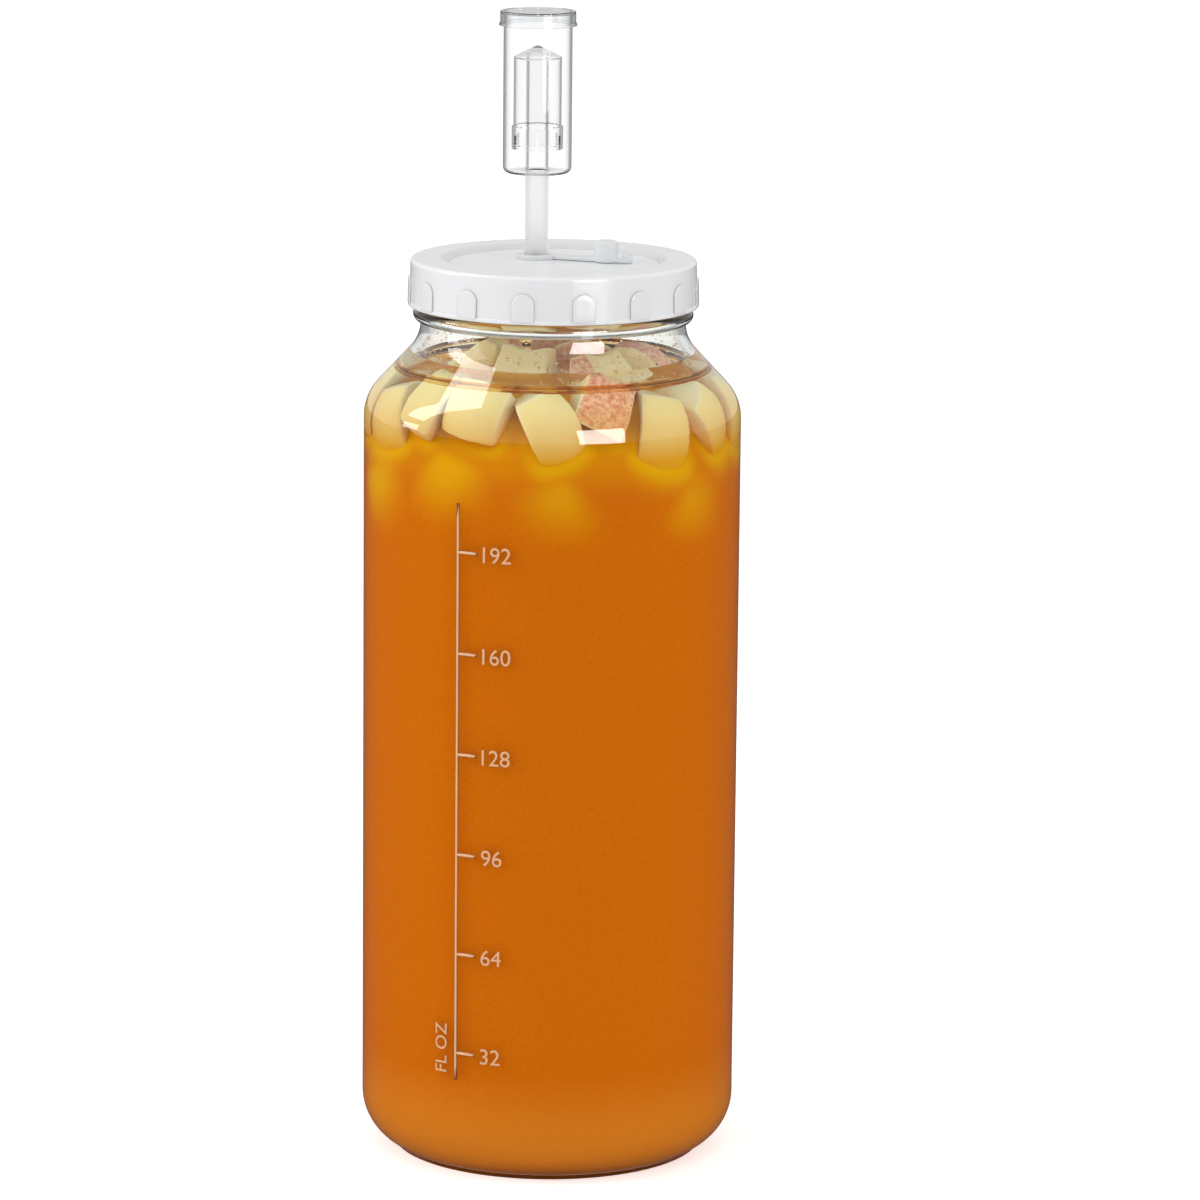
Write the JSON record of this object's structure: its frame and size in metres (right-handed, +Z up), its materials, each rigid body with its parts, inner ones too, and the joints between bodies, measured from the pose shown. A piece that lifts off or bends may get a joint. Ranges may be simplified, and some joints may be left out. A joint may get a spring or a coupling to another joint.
{
  "type": "fermentation jar with airlock",
  "caption": "Tall wide-mouth glass fermenting jar of cloudy brew and apple pieces, with a white screw lid, a tethered stopper and a clear three-piece airlock.",
  "frame": {"origin": "centre of the base, on the surface that the jar stands on", "axes": "+Z up along the jar's axis; -Y towards the viewer, with the graduations on that side; +X to the viewer's right"},
  "size_m": [0.17, 0.17, 0.5179],
  "materials": {
    "clear_glass": "polished",
    "cloudy_brew": "liquid",
    "apple": "wet cut flesh, part peel",
    "white_lid": "moulded, satin gloss",
    "silicone": "translucent, satin",
    "clear_plastic": "clear, polished"
  },
  "bodies": {
    "jar": {"jar_glass": "clear_glass", "brew": "cloudy_brew", "apple_piece_01": "apple", "apple_piece_02": "apple", "apple_piece_03": "apple", "apple_piece_04": "apple", "apple_piece_05": "apple", "apple_piece_06": "apple", "apple_piece_07": "apple", "apple_piece_08": "apple", "apple_piece_09": "apple", "apple_piece_10": "apple", "apple_piece_11": "apple", "apple_piece_12": "apple", "apple_piece_13": "apple", "apple_piece_14": "apple", "apple_piece_15": "apple", "apple_piece_16": "apple", "apple_piece_17": "apple", "apple_piece_18": "apple", "apple_piece_19": "apple", "apple_piece_20": "apple", "apple_piece_21": "apple", "apple_piece_22": "apple", "apple_piece_23": "apple", "apple_piece_24": "apple", "apple_piece_25": "apple", "apple_piece_26": "apple"},
    "seal": {"lid_gasket": "silicone"},
    "lid": {"lid": "white_lid", "grommet": "silicone"},
    "stopper": {"stopper": "silicone"},
    "airlock": {"airlock_body": "clear_plastic"},
    "float": {"airlock_float": "clear_plastic"},
    "cap": {"airlock_cap": "clear_plastic"}
  },
  "joints": [
    {"name": "lid_rise", "type": "slide", "parent": "jar", "child": "seal", "axis": [0, 0, 1], "range_m": [0, 0.0191]},
    {"name": "lid_turn", "type": "hinge", "parent": "seal", "child": "lid", "pos_m": [0, 0, 0.40449], "axis": [0, 0, 1], "range_deg": [0, 540]},
    {"name": "stopper_lift", "type": "hinge", "parent": "lid", "child": "stopper", "pos_m": [0.00183, 0.01263, 0.4074], "axis": [-0.3305, -0.9438, 0], "range_deg": [0, 70]},
    {"name": "airlock_pull", "type": "slide", "parent": "lid", "child": "airlock", "axis": [0, 0, 1], "range_m": [0, 0.025]},
    {"name": "float_rise", "type": "slide", "parent": "airlock", "child": "float", "axis": [0, 0, 1], "range_m": [0, 0.0135]},
    {"name": "cap_pull", "type": "slide", "parent": "airlock", "child": "cap", "axis": [0, 0, 1], "range_m": [0, 0.015]}
  ],
  "couplings": [
    {"joint": "lid_rise", "follows": "lid_turn", "m_per_rad": 0.0020213}
  ]
}
